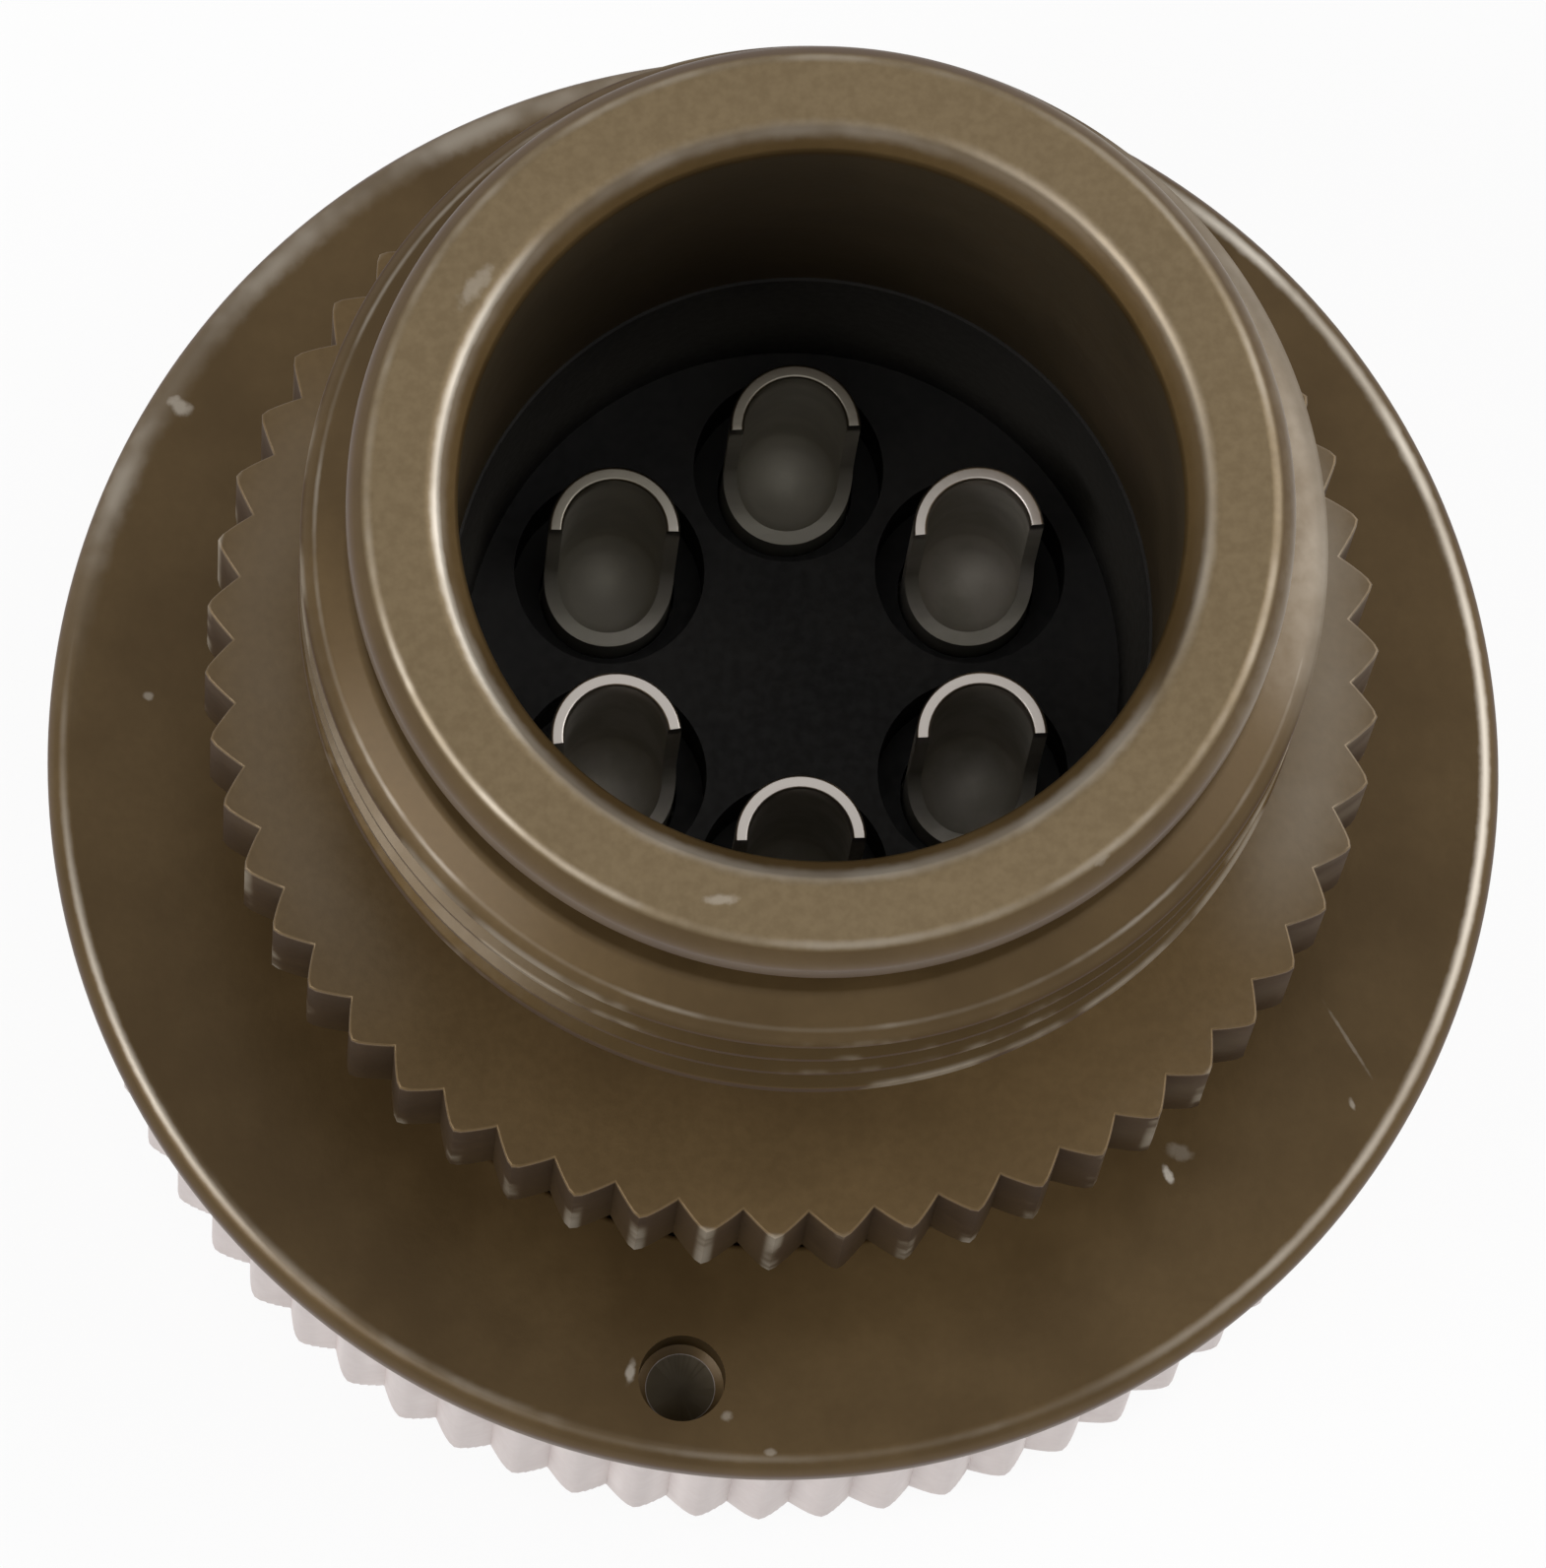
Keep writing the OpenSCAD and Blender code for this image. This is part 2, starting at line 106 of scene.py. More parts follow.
def applyModifiers(piece):
    evaluated = piece.evaluated_get(bpy.context.evaluated_depsgraph_get())
    mesh = bpy.data.meshes.new_from_object(evaluated)
    old = piece.data
    piece.modifiers.clear()
    piece.data = mesh
    bpy.data.meshes.remove(old)
    mesh.name = piece.name


def cutAway(piece, cutter):  # takes the cutter's volume out of a piece
    cut = piece.modifiers.new("cut", "BOOLEAN")
    cut.operation = "DIFFERENCE"
    cut.solver = "EXACT"
    cut.object = cutter
    applyModifiers(piece)
    bpy.data.meshes.remove(cutter.data)


def weld(piece, reach):  # closes the slivers that a cut leaves
    bm = bmesh.new()
    bm.from_mesh(piece.data)
    bmesh.ops.remove_doubles(bm, verts=bm.verts, dist=reach * mm)
    bmesh.ops.dissolve_degenerate(bm, edges=bm.edges, dist=reach * mm)
    bm.to_mesh(piece.data)
    bm.free()


def breakEdges(piece, width, segments=2, angle=40):
    bevel = piece.modifiers.new("edges", "BEVEL")
    bevel.width = width * mm
    bevel.segments = segments
    bevel.limit_method = "ANGLE"
    bevel.angle_limit = math.radians(angle)
    applyModifiers(piece)


def softShade(piece, angle=35):  # smooth curves, flat flats, crisp corners
    for polygon in piece.data.polygons:
        polygon.use_smooth = True
    piece.data.set_sharp_from_angle(angle=math.radians(angle))
    piece.data.transform(Matrix.Scale(1 / mm, 4))          # face areas only count at this size
    weighted = piece.modifiers.new("weighted", "WEIGHTED_NORMAL")
    weighted.keep_sharp = True
    applyModifiers(piece)
    piece.data.transform(Matrix.Scale(mm, 4))


# threads, each a ridge wound round the axis

ridgeSpec = {"halfBase": 0.46, "halfCrest": 0.07, "stepsPerTurn": 144}  # halves in pitches


def helixRidge(bm, spec):  # V ridge with its ends faded into the root
    base, crest, pitch = spec["root"], spec["crest"], spec["pitch"]
    half, flat = pitch * ridgeSpec["halfBase"], pitch * ridgeSpec["halfCrest"]
    perTurn = ridgeSpec["stepsPerTurn"]
    section = [(base, -half), (crest, -flat), (crest, flat), (base, half)]
    across = ray(spec["startAngle"])
    points = [bm.verts.new((across * radius + Vector((0, 0, spec["start"] + rise))) * mm)
              for radius, rise in section]
    edges = [bm.edges.new(pair) for pair in zip(points, points[1:] + points[:1])]
    bm.faces.new(points)
    steps = int(spec["turns"] * perTurn)
    swept = bmesh.ops.spin(bm, geom=points + edges, cent=(0, 0, 0), axis=(0, 0, 1),
                           dvec=(0, 0, pitch * mm / perTurn), angle=math.tau * steps / perTurn,
                           steps=steps, use_merge=False)
    bm.faces.new([item for item in swept["geom_last"] if isinstance(item, bmesh.types.BMVert)])
    begin = math.radians(spec["startAngle"])
    for vert in bm.verts:                                  # along counts turns from the start
        share = ((math.atan2(vert.co.y, vert.co.x) - begin) % math.tau) / math.tau
        along = (vert.co.z / mm - spec["start"]) / pitch
        along = round(along - share) + share
        fade = max(0.0, min(1.0, min(along, spec["turns"] - along) / spec["fade"]))
        radius = math.hypot(vert.co.x, vert.co.y) / mm
        setRadius(vert, (base + (radius - base) * fade) * mm)


def makeThread(name, spec):
    bm = bmesh.new()
    helixRidge(bm, spec)
    piece = finishMesh(name, bm)
    softShade(piece)
    return piece


# shell, turned and toothed, with the rear thread

shellSpec = {
    "wireBore": 6.65, "entry": 7.15, "rim": 8.33, "lip": 8.69, "neck": 8.0, "insertSeat": 7.15,
    "cavity": 7.8, "cavityGroove": 8.3, "nose": 8.8, "journal": 9.7, "snapGroove": 9.1,
    "threadCrest": 9.5, "threadRoot": 8.78, "toothCrest": 11.23,           # radii, mm
    "noseTop": 5.5, "snapLow": 5.8, "snapTop": 6.6, "grooveLow": 8.2, "grooveTop": 9.0,
    "insertSplit": 13.0, "insertStop": 21.85, "toothLow": 14.95, "toothTop": 18.31,
    "threadLow": 23.75, "threadTop": 28.4, "lipLow": 30.4,                 # heights, mm
    "noseEdge": 0.3, "slant": 0.45, "chamfer": 0.5,
    "teeth": 54, "toothDepth": 0.52, "toothPhase": 0.95, "perTooth": 10, "crestRound": 0.14,
    "toothRim": 0.1, "toothMargin": 0.01,                                  # what becomes teeth
    "threadChamfer": 0.25, "leadWidth": 0.6, "leadHeight": 0.3, "crestWidth": 0.2,
    "threadPitch": 1.27, "flankShare": 0.45, "landHeight": 0.45, "threadInset": 1.235,
    "threadAngle": 114, "threadTurns": 1.97, "threadFade": 0.04, "threadSunk": 0.08,
    "threadShy": 0.01,
    "keyWidth": 2.2, "keyDepth": 0.5, "keyTop": 4.3, "keyBlock": 2.0,
    "rounds": {
        "nose": 0.05, "journalFoot": 0.06, "snap": 0.03, "journalTop": 0.1, "tooth": 0.06,
        "neckFoot": 0.2, "neck": 0.1, "threadFoot": 0.12, "thread": 0.04, "firstCrest": 0.09,
        "leadFoot": 0.15, "lead": 0.1, "lipFoot": 0.06, "lip": 0.22, "rim": 0.14, "entry": 0.16,
        "bore": 0.1,
    },
}


def shellSection(spec):
    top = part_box("shell")[1].z / mm
    lead = spec["threadTop"] + spec["leadHeight"]
    flank = (spec["threadPitch"] - spec["crestWidth"]) * spec["flankShare"]
    lowLand = spec["threadLow"] + spec["landHeight"]
    highLand = spec["threadTop"] - spec["threadChamfer"]
    firstCrest = highLand - spec["crestWidth"]
    leadFoot = spec["threadCrest"] - spec["threadChamfer"]
    edge, soft = spec["noseEdge"], spec["rounds"]
    return [
        (spec["cavity"] + edge, 0, soft["nose"]),
        (spec["nose"] - edge, 0, soft["nose"]),
        (spec["nose"], edge, soft["nose"]),
        (spec["nose"], spec["noseTop"], 0),
        (spec["journal"], spec["noseTop"], soft["journalFoot"]),
        (spec["journal"], spec["snapLow"], soft["snap"]),
        (spec["snapGroove"], spec["snapLow"], 0),
        (spec["snapGroove"], spec["snapTop"], 0),
        (spec["journal"], spec["snapTop"], soft["snap"]),
        (spec["journal"], spec["toothLow"], soft["journalTop"]),
        (spec["toothCrest"], spec["toothLow"], soft["tooth"]),
        (spec["toothCrest"], spec["toothTop"], soft["tooth"]),
        (spec["neck"], spec["toothTop"], soft["neckFoot"]),
        (spec["neck"], spec["threadLow"], soft["neck"]),
        (spec["threadCrest"], spec["threadLow"], soft["threadFoot"]),
        (spec["threadCrest"], lowLand, soft["thread"]),
        (spec["threadRoot"], lowLand + flank, soft["thread"]),
        (spec["threadRoot"], firstCrest - flank, soft["thread"]),
        (spec["threadCrest"], firstCrest, soft["thread"]),
        (spec["threadCrest"], highLand, soft["firstCrest"]),
        (leadFoot, spec["threadTop"], soft["leadFoot"]),
        (leadFoot - spec["leadWidth"], lead, soft["lead"]),
        (spec["neck"], lead, soft["lead"]),
        (spec["neck"], spec["lipLow"], soft["neck"]),
        (spec["lip"], spec["lipLow"], soft["lipFoot"]),
        (spec["lip"], top - spec["slant"], soft["lip"]),
        (spec["rim"], top, soft["rim"]),
        (spec["entry"], top, soft["entry"]),
        (spec["wireBore"], top - spec["chamfer"], soft["bore"]),
        (spec["wireBore"], spec["insertStop"], 0),
        (spec["insertSeat"], spec["insertStop"], 0),
        (spec["insertSeat"], spec["insertSplit"], 0),
        (spec["cavity"], spec["insertSplit"], 0),
        (spec["cavity"], spec["grooveTop"], 0),
        (spec["cavityGroove"], spec["grooveTop"], 0),
        (spec["cavityGroove"], spec["grooveLow"], 0),
        (spec["cavity"], spec["grooveLow"], 0),
        (spec["cavity"], edge, soft["nose"]),
    ]


def makeShell(spec):
    bm = bmesh.new()
    turnedSection(bm, shellSection(spec), startAngle=spec["toothPhase"])
    turn(bm, spec["teeth"] * spec["perTooth"])
    low, high = spec["toothLow"] - spec["toothMargin"], spec["toothTop"] + spec["toothMargin"]
    for vert in bm.verts:                                  # the shoulder's rim becomes teeth
        radius, height = math.hypot(vert.co.x, vert.co.y) / mm, vert.co.z / mm
        if low < height < high and radius > spec["toothCrest"] - spec["toothRim"]:
            turned = math.atan2(vert.co.y, vert.co.x) - math.radians(spec["toothPhase"])
            shape = crestShape(turned, spec["teeth"], spec["crestRound"])
            setRadius(vert, (radius - spec["toothDepth"] * (1 - shape)) * mm)
    piece = finishMesh("shellSkin", bm)
    size = (spec["keyWidth"], spec["keyBlock"], spec["keyTop"] + overshoot)
    centre = (0, spec["nose"] - spec["keyDepth"] + spec["keyBlock"] / 2,
              (spec["keyTop"] - overshoot) / 2)
    cutAway(piece, finishMesh("cutter", blockMesh(size, centre)))
    softShade(piece)
    return piece


shellSkin = makeShell(shellSpec)
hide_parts("shell")
shellThread = makeThread("shellThread", {                  # from the low land to the first crest
    "root": shellSpec["threadRoot"] - shellSpec["threadSunk"],
    "crest": shellSpec["threadCrest"] - shellSpec["threadShy"],
    "pitch": shellSpec["threadPitch"],
    "start": shellSpec["threadLow"] + shellSpec["threadInset"],
    "startAngle": shellSpec["threadAngle"],
    "turns": shellSpec["threadTurns"],
    "fade": shellSpec["threadFade"],
})
for piece in (shellSkin, shellThread):
    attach(piece, "plug")
print("shell:", len(shellSkin.data.polygons), "faces")


# coupling ring: knurled outside, threaded inside

ringSpec = {
    "bore": 11.1, "boreEdge": 0.3, "seat": 11.45, "seatLow": 7.9, "crest": 13.7,
    "knurlDepth": 0.42, "crests": 68, "knurlPhase": -0.6, "perCrest": 10, "crestRound": 0.28,
    "chamfer": 1.0, "chamferSteps": (0.8, 0.6, 0.42, 0.3, 0.2, 0.1), "topEdge": 0.3,
    "edgeRound": 0.05, "frontRound": 0.08,
    "threadCrest": 10.86, "threadPitch": 1.27, "threadStart": 0.9, "threadAngle": 0,
    "threadTurns": 4.6, "threadFade": 0.08, "threadSunk": 0.06,
}
dimpleSpec = {"radius": 0.85, "circle": 12.55, "angle": 261, "depth": 1.0, "point": 118,
              "sides": 64}
collarSpec = {"hole": 9.78, "spigot": 11.4, "edge": 0.45, "edgeSegments": 6, "steps": 256,
              "spigotRound": 0.05, "holeRound": 0.12}
collarLow, collarTop = (corner.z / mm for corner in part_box("rear_collar"))


def dimplePlace(spec):  # centre of the dimple, in metres
    turned = math.radians(spec["angle"])
    return (spec["circle"] * math.cos(turned) * mm, spec["circle"] * math.sin(turned) * mm, 0)


def dimpleCutter(spec):  # round cutter with a drill point
    radius, low, high = spec["radius"], collarTop - spec["depth"], collarTop + overshoot
    tip = radius / math.tan(math.radians(spec["point"] / 2))
    bm = bmesh.new()
    turnedSection(bm, [(0, low - tip, 0), (radius, low, 0), (radius, high, 0), (0, high, 0)],
                  closed=False)
    turn(bm, spec["sides"])
    bmesh.ops.translate(bm, verts=bm.verts, vec=dimplePlace(spec))
    return finishMesh("cutter", bm)


def makeRing(spec):
    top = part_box("coupling_ring")[1].z / mm
    crest, soft = spec["crest"], spec["edgeRound"]
    slope = [crest - spec["chamfer"] * share for share in spec["chamferSteps"]]
    front = [(radius, spec["chamfer"] - (crest - radius), 0) for radius in slope]
    bm = bmesh.new()
    turnedSection(bm, [
        (spec["bore"] + spec["boreEdge"], 0, soft),
        (crest - spec["chamfer"], 0, spec["frontRound"]),
        *front,
        (crest, spec["chamfer"], 0),
        (crest, top - spec["topEdge"], 0),
        (crest - spec["topEdge"], top, soft),
        (spec["seat"], top, 0),
        (spec["seat"], spec["seatLow"], 0),
        (spec["bore"], spec["seatLow"], 0),
        (spec["bore"], spec["boreEdge"], soft),
    ], startAngle=spec["knurlPhase"])
    turn(bm, spec["crests"] * spec["perCrest"])
    for vert in bm.verts:                                  # rounded crests, sharp grooves between
        radius = math.hypot(vert.co.x, vert.co.y) / mm
        turned = math.atan2(vert.co.y, vert.co.x) - math.radians(spec["knurlPhase"])
        shape = crestShape(turned, spec["crests"], spec["crestRound"])
        setRadius(vert, min(radius, crest - spec["knurlDepth"] * (1 - shape)) * mm)
    piece = finishMesh("knurledRing", bm)
    cutAway(piece, dimpleCutter(dimpleSpec))
    softShade(piece)
    return piece


knurledRing = makeRing(ringSpec)
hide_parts("coupling_ring")
ringThread = makeThread("ringThread", {                    # stands inward from the bore
    "root": ringSpec["bore"] + ringSpec["threadSunk"],
    "crest": ringSpec["threadCrest"],
    "pitch": ringSpec["threadPitch"],
    "start": ringSpec["threadStart"],
    "startAngle": ringSpec["threadAngle"],
    "turns": ringSpec["threadTurns"],
    "fade": ringSpec["threadFade"],
})
for piece in (knurledRing, ringThread):
    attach(piece, "coupling")
print("coupling ring:", len(knurledRing.data.polygons), "faces")


# rear collar with its drilled dimple

def makeCollar(spec):
    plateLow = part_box("coupling_ring")[1].z / mm
    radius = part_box("rear_collar")[1].x / mm
    bm = bmesh.new()
    turnedSection(bm, [
        (spec["hole"], collarLow, spec["spigotRound"]),
        (spec["spigot"], collarLow, spec["spigotRound"]),
        (spec["spigot"], plateLow, 0),
        (radius, plateLow, spec["edge"]),
        (radius, collarTop, spec["edge"]),
        (spec["hole"], collarTop, spec["holeRound"]),
    ], segments=spec["edgeSegments"])
    turn(bm, spec["steps"])
    piece = finishMesh("smoothCollar", bm)
    cutAway(piece, dimpleCutter(dimpleSpec))
    softShade(piece)
    return piece


smoothCollar = makeCollar(collarSpec)
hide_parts("rear_collar")
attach(smoothCollar, "coupling")
print("collar:", len(smoothCollar.data.polygons), "faces")


# contacts: pin, locking collar and scooped solder cup

contactSpec = {
    "count": 6, "circle": 4.0, "firstAngle": 90, "angleStep": -60, "turns": [2, 5, 2, 1, 7, -1],
    "pin": 0.79, "collar": 1.5, "cup": 1.25, "cupBore": 0.98,              # radii, mm
    "split": 13.0, "collarTop": 14.0, "lip": 16.3, "floor": 16.0,          # heights, mm
    "point": 118, "crestShadeShare": 0.98, "rimRound": 0.06, "floorRound": 0.3, "roundSegments": 6,
    "steps": 64, "block": 4.0, "scoop": 1.2, "scoopSegments": 10, "margin": 0.1,
    "sliver": 0.004, "edge": 0.04,
}


def scoopCutter(high, spec):  # opens the front of a cup, with a curve down to the lip
    depth = high - spec["lip"] + overshoot
    bm = blockMesh((spec["block"], spec["block"], depth),
                   (0, -spec["block"] / 2, spec["lip"] + depth / 2))
    back, low = -spec["margin"] * mm, (spec["lip"] + spec["margin"]) * mm
    inner = [edge for edge in bm.edges
             if all(vert.co.y > back and vert.co.z < low for vert in edge.verts)]
    bmesh.ops.bevel(bm, geom=inner, offset=spec["scoop"] * mm, offset_type="OFFSET",
                    segments=spec["scoopSegments"], profile=0.5, affect="EDGES", material=-1,
                    clamp_overlap=True)
    return finishMesh("cutter", bm)


def makeContact(number, spec):
    low, high = (corner.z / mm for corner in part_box(f"contact_{number}"))
    tip = spec["floor"] - spec["cupBore"] / math.tan(math.radians(spec["point"] / 2))
    bm = bmesh.new()
    turnedSection(bm, [
        (0, low, 0),
        (spec["pin"], low, spec["pin"] * spec["crestShadeShare"]),
        (spec["pin"], spec["split"], 0),
        (spec["collar"], spec["split"], 0),
        (spec["collar"], spec["collarTop"], 0),
        (spec["cup"], spec["collarTop"], 0),
        (spec["cup"], high, spec["rimRound"]),
        (spec["cupBore"], high, spec["rimRound"]),
        (spec["cupBore"], spec["floor"], spec["floorRound"]),
        (0, tip, 0),
    ], closed=False, segments=spec["roundSegments"])
    turn(bm, spec["steps"])
    piece = finishMesh(f"contact{number}", bm)
    cutAway(piece, scoopCutter(high, spec))
    weld(piece, spec["sliver"])
    breakEdges(piece, spec["edge"])
    softShade(piece)
    where = ray(spec["firstAngle"] + spec["angleStep"] * (number - 1)) * spec["circle"] * mm
    turned = Matrix.Rotation(math.radians(spec["turns"][number - 1]), 4, "Z")
    piece.data.transform(Matrix.Translation(where) @ turned)
    return piece


contacts = [makeContact(number, contactSpec) for number in range(1, contactSpec["count"] + 1)]
for number, piece in enumerate(contacts, 1):
    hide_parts(f"contact_{number}")
    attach(piece, "plug")
print("contacts:", len(contacts))


# rear insulator with a recess round each cup

insertSpec = {
    "well": 6.6, "draft": 0.3, "floor": 17.34, "recess": 1.825, "recessLow": 15.49, "hole": 1.3,
    "collarHole": 1.55, "collarTop": 14.05, "edge": 0.07, "steps": 128, "holeSteps": 64,
}


def holeCutter(bottom, spec):  # one stepped hole, then its copies round the axis
    low, high = bottom - overshoot, spec["floor"] + overshoot
    bm = bmesh.new()
    turnedSection(bm, [
        (0, low, 0),
        (spec["collarHole"], low, 0),
        (spec["collarHole"], spec["collarTop"], 0),
        (spec["hole"], spec["collarTop"], 0),
        (spec["hole"], spec["recessLow"], 0),
        (spec["recess"], spec["recessLow"], 0),
        (spec["recess"], high, 0),
        (0, high, 0),
    ], closed=False)
    turn(bm, spec["holeSteps"])
    bmesh.ops.translate(bm, verts=bm.verts, vec=(0, contactSpec["circle"] * mm, 0))
    copies = contactSpec["count"] - 1
    bmesh.ops.spin(bm, geom=list(bm.verts) + list(bm.edges) + list(bm.faces), cent=(0, 0, 0),
                   axis=(0, 0, 1), dvec=(0, 0, 0), angle=math.tau * copies / (copies + 1),
                   steps=copies, use_duplicate=True)
    return finishMesh("cutter", bm)


def makeRearInsert(spec):
    low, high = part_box("rear_insert")
    radius, bottom, top = high.x / mm, low.z / mm, high.z / mm
    bm = bmesh.new()
    turnedSection(bm, [
        (0, bottom, 0),
        (radius, bottom, 0),
        (radius, top, 0),
        (spec["well"], top, 0),
        (spec["well"] - spec["draft"], spec["floor"], 0),
        (0, spec["floor"], 0),
    ], closed=False)
    turn(bm, spec["steps"])
    piece = finishMesh("rearInsulator", bm)
    cutAway(piece, holeCutter(bottom, spec))
    breakEdges(piece, spec["edge"])
    softShade(piece)
    return piece


rearInsulator = makeRearInsert(insertSpec)
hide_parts("rear_insert")
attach(rearInsulator, "plug")
print("rear insulator:", len(rearInsulator.data.polygons), "faces")


# node helpers

def tone(red, green, blue):  # screen colour, 0 to 255, to linear
    def linear(value):
        share = value / 255
        return share / 12.92 if share <= 0.04045 else ((share + 0.055) / 1.055) ** 2.4
    return (linear(red), linear(green), linear(blue), 1.0)


def feed(tree, socket, value):  # links an input to another socket, or sets it
    if isinstance(value, bpy.types.NodeSocket):
        tree.links.new(value, socket)
    else:
        socket.default_value = value


def addNode(tree, kind, inputs=None, **settings):
    node = tree.nodes.new(kind)
    for name, value in settings.items():
        setattr(node, name, value)
    for name, value in (inputs or {}).items():
        feed(tree, node.inputs[name], value)
    return node


def maths(tree, operation, first, second=0.0):
    return addNode(tree, "ShaderNodeMath", {0: first, 1: second}, operation=operation).outputs[0]


def times(tree, first, second):
    return maths(tree, "MULTIPLY", first, second)


def lengthOf(tree, *sides):  # root of the sum of squares
    total = times(tree, sides[0], sides[0])
    for side in sides[1:]:
        total = maths(tree, "ADD", total, times(tree, side, side))
    return maths(tree, "SQRT", total)


def vectors(tree, operation, first, second=(0, 0, 0)):
    inputs = {0: first, 1: second}
    return addNode(tree, "ShaderNodeVectorMath", inputs, operation=operation).outputs


def mixTone(tree, factor, first, second):
    node = addNode(tree, "ShaderNodeMix", {"Factor": factor}, data_type="RGBA")
    for name, value in (("A", first), ("B", second)):
        feed(tree, [item for item in node.inputs if item.name == name and item.type == "RGBA"][0],
             value)
    return [item for item in node.outputs if item.type == "RGBA"][0]


def span(tree, value, low, high, fromEdge=0.0, toEdge=1.0, smooth=True):  # maps a range, clamped
    kind = "SMOOTHSTEP" if smooth else "LINEAR"
    inputs = {"Value": value, "From Min": low, "From Max": high, "To Min": fromEdge,
              "To Max": toEdge}
    return addNode(tree, "ShaderNodeMapRange", inputs, interpolation_type=kind).outputs["Result"]


def band(tree, value, low, high, soft=0.1):  # 1 between two limits
    rise = span(tree, value, low, low + soft)
    return times(tree, rise, span(tree, value, high - soft, high, 1.0, 0.0))


def objectPlace(tree):
    return addNode(tree, "ShaderNodeTexCoord").outputs["Object"]


def noise(tree, scale, detail, roughness=0.5):
    inputs = {"Vector": objectPlace(tree), "Scale": scale, "Detail": detail,
              "Roughness": roughness}
    return addNode(tree, "ShaderNodeTexNoise", inputs).outputs["Fac"]


def newGroup(name, inputs, outputs):
    tree = bpy.data.node_groups.new(name, "ShaderNodeTree")
    for label, kind in inputs:
        tree.interface.new_socket(name=label, in_out="INPUT", socket_type=kind)
    for label, kind in outputs:
        tree.interface.new_socket(name=label, in_out="OUTPUT", socket_type=kind)
    return tree, tree.nodes.new("NodeGroupInput"), tree.nodes.new("NodeGroupOutput")


def place(tree, group, inputs=None):  # puts a group in a tree with its own values
    node = addNode(tree, "ShaderNodeGroup", node_tree=group)
    for label, value in (inputs or {}).items():
        feed(tree, node.inputs[label], value)
    return node.outputs


# shared effects

scalar, direction = "NodeSocketFloat", "NodeSocketVector"
wearAndHighlightSpec = {
    "nickScale": 3200.0, "nickDetail": 2.0, "nickFrom": (0.3, 0.7), "nickWidth": (0.9, 1.1),
    "patchScale": 450.0, "patchDetail": 3.0, "patchFrom": (0.42, 0.66), "sideFade": 0.25,
}
grainSpec = {
    "patchDetail": 4.0, "patchRough": 0.6, "patchFrom": (0.3, 0.7), "patchHeight": 0.3,
    "grainDetail": 2.0, "grainRough": 0.55, "grainFrom": (0.25, 0.75), "grainHeight": 0.7,
}
fleckSpec = {"noiseScale": 5000.0, "noiseDetail": 2.0, "noiseMiddle": 0.5, "edge": (0.35, 1.0)}


def makeTurnedPlace():  # distance from the axis and height, in mm, of the point being shaded
    tree, _, end = newGroup("turnedPlace", [], [("Radius", scalar), ("Height", scalar)])
    spot = addNode(tree, "ShaderNodeSeparateXYZ", {0: objectPlace(tree)}).outputs
    radius = times(tree, lengthOf(tree, spot["X"], spot["Y"]), 1 / mm)
    tree.links.new(radius, end.inputs["Radius"])
    tree.links.new(times(tree, spot["Z"], 1 / mm), end.inputs["Height"])
    return tree


def makeEdgeWearAndHighlight(spec):  # broken bright line along a turned edge, at one side, for wear and for painted highlights
    tree, start, end = newGroup("edgeWearAndHighlight", [
        ("Radius", scalar), ("Height", scalar), ("Spread", scalar), ("Breakup", scalar),
        ("Toward", direction), ("Reach", scalar),
    ], [("Mask", scalar)])
    given, where = start.outputs, place(tree, turnedPlace)
    across = maths(tree, "SUBTRACT", where["Radius"], given["Radius"])
    along = maths(tree, "SUBTRACT", where["Height"], given["Height"])
    nicks = noise(tree, spec["nickScale"], spec["nickDetail"])
    width = times(tree, given["Spread"],
                  span(tree, nicks, *spec["nickFrom"], *spec["nickWidth"]))
    near = span(tree, lengthOf(tree, across, along), 0.0, width, 1.0, 0.0)
    patchy = span(tree, noise(tree, spec["patchScale"], spec["patchDetail"]), *spec["patchFrom"])
    kept = maths(tree, "ADD", maths(tree, "SUBTRACT", 1.0, given["Breakup"]),
                 times(tree, patchy, given["Breakup"]))
    flat = vectors(tree, "MULTIPLY", objectPlace(tree), (1.0, 1.0, 0.0))[0]
    outward = vectors(tree, "NORMALIZE", flat)[0]
    facing = vectors(tree, "DOT_PRODUCT", outward, given["Toward"])["Value"]
    side = span(tree, maths(tree, "SUBTRACT", facing, given["Reach"]), 0.0, spec["sideFade"])
    tree.links.new(times(tree, times(tree, near, kept), side), end.inputs["Mask"])
    return tree


def makeFinishGrain(spec):  # cloudy patches, fine grain and a bump height
    tree, start, end = newGroup("finishGrain", [
        ("Patch Scale", scalar), ("Grain Scale", scalar),
    ], [("Patch", scalar), ("Grain", scalar), ("Height", scalar)])
    patch = noise(tree, start.outputs["Patch Scale"], spec["patchDetail"], spec["patchRough"])
    grain = noise(tree, start.outputs["Grain Scale"], spec["grainDetail"], spec["grainRough"])
    height = maths(tree, "ADD", times(tree, grain, spec["grainHeight"]),
                   times(tree, patch, spec["patchHeight"]))
    tree.links.new(span(tree, patch, *spec["patchFrom"]), end.inputs["Patch"])
    tree.links.new(span(tree, grain, *spec["grainFrom"]), end.inputs["Grain"])
    tree.links.new(height, end.inputs["Height"])
    return tree


